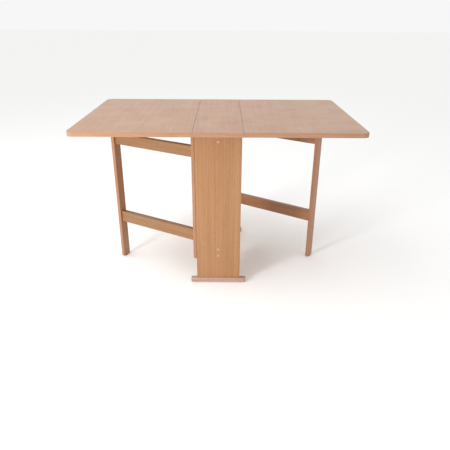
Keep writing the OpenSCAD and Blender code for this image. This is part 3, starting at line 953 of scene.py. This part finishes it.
@dataclass
class TableTop:
    """The fixed centre board and both leaves, each with its edge band.

    Attributes:
        corner_radius: Radius of the leaves' outer corners.
        edge_radius: Radius along the table's outer edges.
        seam_radius: Radius along the edges where two boards meet.
        joint_radius: Rounding on each side of the joint between a board and its band.
    """

    corner_radius: float = 28 * MM
    edge_radius: float = 1.6 * MM
    seam_radius: float = 0.2 * MM
    joint_radius: float = 0.12 * MM

    def build(self) -> None:
        """Builds and dresses the three boards and their bands."""
        band = EDGE_BAND.material(Grain.ALONG_EDGE)
        r, e, s = self.corner_radius, self.edge_radius, self.seam_radius
        for part, corners, edges, shift in (
            ("centre_top", (0, 0, 0, 0), (e, s, e, s), 0.0),
            ("left_leaf", (r, 0, 0, r), (e, s, e, e), 1.3),
            ("right_leaf", (0, r, r, 0), (e, e, e, s), 2.9),
        ):
            board = part if part == "centre_top" else part + "_top"
            edging = part + "_edging"
            low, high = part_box(edging)
            outer = Outline(low, high, corners, edges)
            inner_low, inner_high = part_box(board)
            width = inner_low.y - low.y
            inner_corners = [max(radius - width, 0) for radius in corners]
            inner = Outline(inner_low, inner_high, inner_corners, [self.joint_radius] * 4)
            self._board(board, inner, LAMINATE.material(Grain.ALONG_Y, shift=shift))
            self._band(edging, outer, inner, band)

    def _board(self, node: str, outline: Outline, material: Material) -> None:
        """Builds a laminated board inside its band.

        Args:
            node: The board's CAD node.
            outline: Its outline.
            material: The laminate.
        """
        bottom, top = outline.low.z, outline.high.z
        rings = outline.rounded_edge(bottom, upper=False, steps=2)
        rings += outline.rounded_edge(top, upper=True, steps=2)
        make_piece(node, "board", loft(rings, closed=False), material)

    def _band(self, node: str, outer: Outline, inner: Outline, material: Material) -> None:
        """Builds an edge band with rounded outer edges.

        Args:
            node: The band's CAD node.
            outer: Outline of its outer face.
            inner: Outline of its inner face, the board's.
            material: The band's plastic.
        """
        bottom, top = outer.low.z, outer.high.z
        rings = outer.rounded_edge(bottom, upper=False) + outer.rounded_edge(top, upper=True)
        rings += [inner.ring(-1, top, 0), inner.ring(0, top, -1)]
        rings += [inner.ring(0, bottom, 1), inner.ring(-1, bottom, 0)]
        make_piece(node, "band", loft(rings, closed=True), material)


@dataclass
class EndFrames:
    """Both end panels on their feet, and the stretchers between them.

    Attributes:
        copies: Places the caps.
        panel_edge: Rounding of the panels' edges.
        foot_corner: Radius of a foot's ends from above.
        foot_edge: Radius along a foot's upper edges.
        foot_under_edge: Radius along a foot's lower edges.
        cap_dish: Depth of the dish in a screw cap.
    """

    copies: Copies
    panel_edge: float = 0.8 * MM
    foot_corner: float = 6 * MM
    foot_edge: float = 4 * MM
    foot_under_edge: float = 1.0 * MM
    cap_dish: float = 0.35 * MM

    def build(self) -> None:
        """Builds and dresses the end frames."""
        for node, grain, shift in (
            ("front_panel", Grain.UPRIGHT, 0.0),
            ("rear_panel", Grain.UPRIGHT, 1.7),
            ("top_stretcher", Grain.ALONG_Y, 0.6),
            ("lower_stretcher", Grain.ALONG_Y, 2.4),
        ):
            board = soft_box(*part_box(node), self.panel_edge)
            make_piece(node, "board", board, PANEL_FOIL.material(grain, shift=shift))
        for node, shift in (("front_foot", 0.0), ("rear_foot", 0.31)):
            self._foot(node, PALE_BEECH.material(Grain.ALONG_X, shift=shift))
        for node in ("panel_dowels", "stretcher_dowels"):
            dress(node, RAW_BEECH.material(Grain.UPRIGHT))
        dress("stretcher_screws", SCREW_STEEL.material())
        self._caps()

    def _foot(self, node: str, material: Material) -> None:
        """Builds a foot with rounded ends and softened edges.

        Args:
            node: Its CAD node.
            material: Its wood.
        """
        low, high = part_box(node)
        corners = [self.foot_corner] * 4
        under = Outline(low, high, corners, [self.foot_under_edge] * 4)
        over = Outline(low, high, corners, [self.foot_edge] * 4)
        rings = under.rounded_edge(low.z, upper=False) + over.rounded_edge(high.z, upper=True, steps=6)
        make_piece(node, "block", loft(rings, closed=False), material)

    def _caps(self) -> None:
        """Places a dished cap over each stretcher screw."""
        places = []
        for cap in islands("screw_caps"):
            out = Vector((0, math.copysign(1, cap.middle.y), 0))
            face_y = cap.high.y if out.y > 0 else cap.low.y
            places.append((Vector((cap.middle.x, face_y, cap.middle.z)), facing(out)))
        one = islands("screw_caps")[0]
        r = (one.high.x - one.low.x) / 2
        rim = [p.y for p in one.points if math.hypot(p.x - one.middle.x, p.z - one.middle.z) > 0.8 * r]
        t = max(rim) - min(rim)
        profile = [
            (0, -self.cap_dish), (0.45 * r, -self.cap_dish), (0.62 * r, -0.1 * t), (0.78 * r, 0),
            (0.9 * r, -0.12 * t), (0.98 * r, -0.45 * t), (r, -0.8 * t), (r, -t), (0, -t),
        ]
        self.copies.place("screw_caps", "dished", lathe(profile), places, CAP_PLASTIC.material())


@dataclass
class Gate:
    """One swinging gate: a hinge stile and a leg joined by two rails.

    Attributes:
        side: The side of the table that it supports, left or right.
        post_edge: Rounding of the uprights' edges.
        rail_edge: Rounding of the rails' edges.
        place: Frame of the gate in the open pose, in which its boards run along X and Y.
        turn: Angle of that frame about Z, in radians.
    """

    side: str
    post_edge: float = 2.6 * MM
    rail_edge: float = 2.2 * MM
    place: Matrix = field(init=False)
    turn: float = field(init=False)

    def __post_init__(self) -> None:
        """Works out the closed gate's frame from the joint."""
        joint = next(j for j in frame["joints"] if j["child"] == f"{self.side}_gate")
        open_angle = math.radians(max(joint["range_deg"]))
        half_turn = math.pi if self.side == "right" else 0.0
        self.turn = open_angle + half_turn
        pin = Vector((joint["pos_m"][0], joint["pos_m"][1], 0))
        self.place = Matrix.Translation(pin) @ Matrix.Rotation(self.turn, 4, "Z")

    def box(self, node: str) -> tuple[Vector, Vector]:
        """A node's box in the closed gate's frame.

        Args:
            node: The node's name.

        Returns:
            Its lowest and highest corners.
        """
        back = self.place.inverted()
        island = Island([back @ v.co for v in frame["nodes"][node].data.vertices])
        return island.low, island.high

    def build(self) -> None:
        """Builds and dresses the gate's wooden pieces and its stop."""
        left = self.side == "left"
        # The left rails and both stops take the golden tint: a yellower tone, and also painted shade from the
        # table top
        rails = GOLDEN_AND_SHADED if left else PINKISH
        for part, edge, grain, tint, shift in (
            ("gate_stile", self.post_edge, Grain.UPRIGHT, PINKISH, 0.02),
            ("gate_leg", self.post_edge, Grain.UPRIGHT, PINKISH, 0.05),
            ("gate_top_rail", self.rail_edge, Grain.ALONG_Y, rails, 0.09),
            ("gate_lower_rail", self.rail_edge, Grain.ALONG_Y, rails, 0.13),
            ("gate_stop", self.rail_edge, Grain.ALONG_Y, GOLDEN_AND_SHADED, 0.17),
        ):
            node = f"{self.side}_{part}"
            low, high = self.box(node)
            material = SOLID_BEECH.material(grain, self.turn, tint, shift if left else -shift)
            make_piece(node, "piece", soft_box(low, high, edge), material, self.place)
        dress(f"{self.side}_gate_dowels", RAW_BEECH.material(Grain.ALONG_Y, self.turn))


@dataclass
class Fittings:
    """Hinges, brackets, screws and glides.

    Attributes:
        copies: Places what repeats.
        plate_ease: Easing of the hinge plates' edges.
        bracket_bend: Outer radius of the brackets' bend.
        bracket_end: Radius of the corners at the ends of the brackets.
        recess_width: Width of each slot of a screw's cross recess, in head radii.
        glide_rim: Height of a glide's head.
    """

    copies: Copies
    plate_ease: float = 0.25 * MM
    bracket_bend: float = 3.2 * MM
    bracket_end: float = 4 * MM
    recess_width: float = 0.9 / 3.5
    glide_rim: float = 3 * MM

    def build(self) -> None:
        """Builds and dresses all fittings."""
        brass = HINGE_BRASS.material()
        steel = SCREW_STEEL.material()
        for node in BODY:
            if node.endswith(("_plates", "_pins")):
                eased_copy(node, self.plate_ease, brass)
            elif node.endswith("_screws") and node != "stretcher_screws":
                self._screws(node, steel)
        self._brackets()
        self._glides()

    def _screws(self, node: str, steel: Material) -> None:
        """Places a countersunk screw with a cross recess at each CAD screw.

        Args:
            node: The CAD screws.
            steel: Their finish.
        """
        found = [self._screw_axis(screw) for screw in islands(node)]
        places = [(head, facing(into)) for head, into, _, _ in found]
        shape = self._screw_shape(*found[-1][2:])
        # A screw stops wherever it bites, so no two recesses stand the same way
        self.copies.place(node, "crossed", shape, places, steel, turn_spread=math.pi / 2)

    @staticmethod
    def _screw_axis(screw: Island) -> tuple[Vector, Vector, float, float]:
        """Finds where a CAD screw's head is and which way it points.

        Args:
            screw: The screw.

        Returns:
            Middle of the head's face, direction of the point, radius of the head, and length.
        """
        centre = mean(screw.points)
        far = max(screw.points, key=lambda p: (p - centre).length)
        axis = (far - centre).normalized()
        near_end = 0.98  # share of the way to the last point from which points belong to an end
        for _ in range(8):
            along = [(p - centre).dot(axis) for p in screw.points]
            front = [p for p, a in zip(screw.points, along) if a > near_end * max(along)]
            back = [p for p, a in zip(screw.points, along) if a < near_end * min(along)]
            axis = (mean(front) - mean(back)).normalized()
        tip_side, head_side = sorted((front, back), key=spread)
        head, tip = mean(head_side), mean(tip_side)
        return head, (tip - head).normalized(), spread(head_side), (tip - head).length

    def _screw_shape(self, head_r: float, length: float) -> BMesh:
        """A countersunk screw along +Z with a cross recess in its head.

        Args:
            head_r: Radius of the head.
            length: Length from the head's face to the tip.

        Returns:
            The screw.
        """
        shank_r = 0.5 * head_r
        head_t = head_r - shank_r
        profile = [
            (0, 0), (0.9 * head_r, 0.0), (head_r, 0.12 * head_t), (head_r, 0.3 * head_t),
            (shank_r, 1.3 * head_t), (shank_r, length - 1.5 * shank_r), (0, length),
        ]
        screw = new_object("screw_blank", mesh_from("screw_blank", lathe(profile, 24)))
        deep, long, wide = 0.8 * head_t, 1.15 * head_r, self.recess_width * head_r
        cutter = bmesh.new()
        for x, y in ((long, wide), (wide, long)):
            bmesh.ops.create_cube(cutter, size=1.0, matrix=Matrix.Diagonal((x, y, 2 * deep, 1)))
        tool = new_object("recess_tool", mesh_from("recess_tool", cutter))
        cut = screw.modifiers.new("recess", "BOOLEAN")
        cut.operation = "DIFFERENCE"
        cut.object = tool
        cut.solver = "EXACT"
        cut.use_self = True
        plain_mesh(screw)
        made = bmesh.new()
        made.from_mesh(screw.data)
        for obj in (screw, tool):
            bpy.data.objects.remove(obj)
        return made

    def _brackets(self) -> None:
        """Places a bent strap at each CAD bracket."""
        places = []
        near = 0.1 * MM
        arm = width = thickness = 0.0
        for bracket in islands("angle_brackets"):
            low, high, middle = bracket.low, bracket.high, bracket.middle
            top = [p for p in bracket.points if p.z > high.z - near]
            side = [p for p in bracket.points if p.z < low.z + near]
            out = mean(top) - mean(side)
            out = Vector((out.x, out.y, 0)).normalized()
            sizes = high - low
            across_x = abs(out.x) < 0.5
            arm, width = sizes.z, sizes.x if across_x else sizes.y
            reach = sizes.y if across_x else sizes.x
            corner = middle - out * reach / 2
            thickness = min(high.z - p.z for p in bracket.points if high.z - p.z > near)
            turn = Euler((0, 0, math.atan2(out.y, out.x) - math.pi / 2))
            places.append((Vector((corner.x, corner.y, high.z)), turn))
        shape = self._strap(arm, width, thickness)
        self.copies.place("angle_brackets", "bent", shape, places, ZINC.material())

    def _strap(self, arm: float, width: float, thickness: float) -> BMesh:
        """A strap bent at a right angle, with rounded ends.

        Args:
            arm: Length of each arm.
            width: Width of the strap.
            thickness: Thickness of the strap.

        Returns:
            The strap, its corner at the origin: one arm hangs down, and the other runs along +Y.
        """
        bend = self.bracket_bend
        straight = arm - bend
        bm = bmesh.new()
        rows = []
        end_steps, bend_steps = 5, 8
        for i in range(end_steps + 1):
            a = math.pi / 2 * i / end_steps
            rows.append((self.bracket_end * (1 - math.cos(a)), self.bracket_end * (1 - math.sin(a))))
        path = [(s, inset, None) for s, inset in rows]
        path += [(straight, 0.0, k / bend_steps) for k in range(bend_steps + 1)]
        path += [(straight - s, inset, -1) for s, inset in reversed(rows)]
        rings = []
        for s, inset, part in path:
            if part is None:
                middle, out = Vector((0, 0, -arm + s)), Vector((0, 1, 0))
            elif part < 0:
                middle, out = Vector((0, bend + s, 0)), Vector((0, 0, -1))
            else:
                a = math.pi / 2 * part
                middle = Vector((0, bend * (1 - math.cos(a)), bend * (math.sin(a) - 1)))
                out = Vector((0, math.cos(a), -math.sin(a)))
            half = Vector((width / 2 - inset, 0, 0))
            inner = middle + out * thickness
            corners = (middle - half, middle + half, inner + half, inner - half)
            rings.append([bm.verts.new(p) for p in corners])
        for a, b in zip(rings, rings[1:]):
            for k in range(4):
                bm.faces.new((a[k], a[(k + 1) % 4], b[(k + 1) % 4], b[k]))
        bm.faces.new(rings[0][::-1])
        bm.faces.new(rings[-1])
        bmesh.ops.remove_doubles(bm, verts=bm.verts, dist=1e-7)
        bmesh.ops.recalc_face_normals(bm, faces=bm.faces)
        return bm

    def _glides(self) -> None:
        """Places a domed glide under each foot and leg."""
        plastic = GLIDE_PLASTIC.material()
        for node in ("foot_glides", "left_gate_glide", "right_gate_glide"):
            found = islands(node)
            r = max((g.high.x - g.low.x) / 2 for g in found)
            t = self.glide_rim
            profile = [
                (0, 0.7 * MM), (0.3 * r, 0.7 * MM), (0.36 * r, 0.0), (0.78 * r, 0.0), (0.93 * r, 0.15 * t),
                (r, 0.45 * t), (r, t), (0, t),
            ]
            places = [(Vector((g.middle.x, g.middle.y, g.low.z)), Euler()) for g in found]
            self.copies.place(node, "domed", lathe(profile), places, plastic)


@dataclass
class Studio:
    """Floor, lights and camera.

    Attributes:
        floor_size: Width of the floor.
        floor_colour: Colour of the floor.
        surround: Strength of the pale surround.
        camera_place: Where the camera stands.
        camera_pitch: How far it looks down, in degrees.
        camera_yaw: How far it looks to the left, in degrees.
        camera_roll: How far it is turned counter-clockwise, in degrees.
        lens: Focal length in millimetres, on a 36 mm sensor.
    """

    floor_size: float = 60.0
    floor_colour: str = "#FBFBFA"
    surround: float = 0.93
    camera_place: tuple[float, float, float] = (0.02381, -2.18752, 1.17465)
    camera_pitch: float = 24.7335
    camera_yaw: float = -0.1901
    camera_roll: float = 0.3304
    lens: float = 37.187

    def build(self) -> None:
        """Builds the whole studio."""
        self._floor()
        self._lights()
        self._camera()
        bpy.context.scene.view_settings.view_transform = "Standard"

    def _floor(self) -> None:
        """Lays a plain pale floor."""
        bm = bmesh.new()
        bmesh.ops.create_grid(bm, x_segments=1, y_segments=1, size=self.floor_size / 2)
        floor = new_object("studio_floor", mesh_from("studio_floor", bm))
        material = bpy.data.materials.new("painted studio floor")
        material.use_nodes = True
        shader = material.node_tree.nodes["Principled BSDF"]
        shader.inputs["Base Color"].default_value = linear(self.floor_colour)
        shader.inputs["Roughness"].default_value = 0.9
        floor.data.materials.append(material)

    def _lights(self) -> None:
        """Sets a pale surround, a key light at the front left and a broad, weaker overhead light."""
        world = bpy.data.worlds.new("pale surround")
        world.use_nodes = True
        back = world.node_tree.nodes["Background"]
        back.inputs["Color"].default_value = linear("#FFFFFF")
        back.inputs["Strength"].default_value = self.surround
        bpy.context.scene.world = world
        aim = Vector((0, 0, 0.4))
        for name, place, size, power in (
            ("key softbox", Vector((-1.6, -1.8, 0.92)), 0.45, 34.0),
            ("overhead softbox", Vector((-1.6, -0.2, 2.6)), 2.6, 24.0),
        ):
            data = bpy.data.lights.new(name, "AREA")
            data.shape = "SQUARE"
            data.size = size
            data.energy = power
            light = new_object(name, data)
            light.visible_camera = light.visible_glossy = False
            light.location = place
            light.rotation_euler = (aim - place).to_track_quat("-Z", "Y").to_euler()

    def _camera(self) -> None:
        """Sets the camera in front of the table, above its top."""
        pitch, yaw, roll = (
            math.radians(a) for a in (self.camera_pitch, self.camera_yaw, self.camera_roll)
        )
        data = bpy.data.cameras.new("camera")
        data.sensor_width = 36.0
        data.lens = self.lens
        camera = new_object("camera", data)
        aim = Matrix.Rotation(yaw, 4, "Z") @ Matrix.Rotation(math.pi / 2 - pitch, 4, "X")
        camera.matrix_world = (
            Matrix.Translation(self.camera_place) @ aim @ Matrix.Rotation(roll, 4, "Z")
        )
        bpy.context.scene.camera = camera


def main() -> None:
    """Builds the table's looks in order, then the studio."""
    copies = Copies()
    TableTop().build()
    EndFrames(copies).build()
    for side in ("left", "right"):
        Gate(side).build()
    Fittings(copies).build()
    Studio().build()


if __name__ == "__main__":
    main()
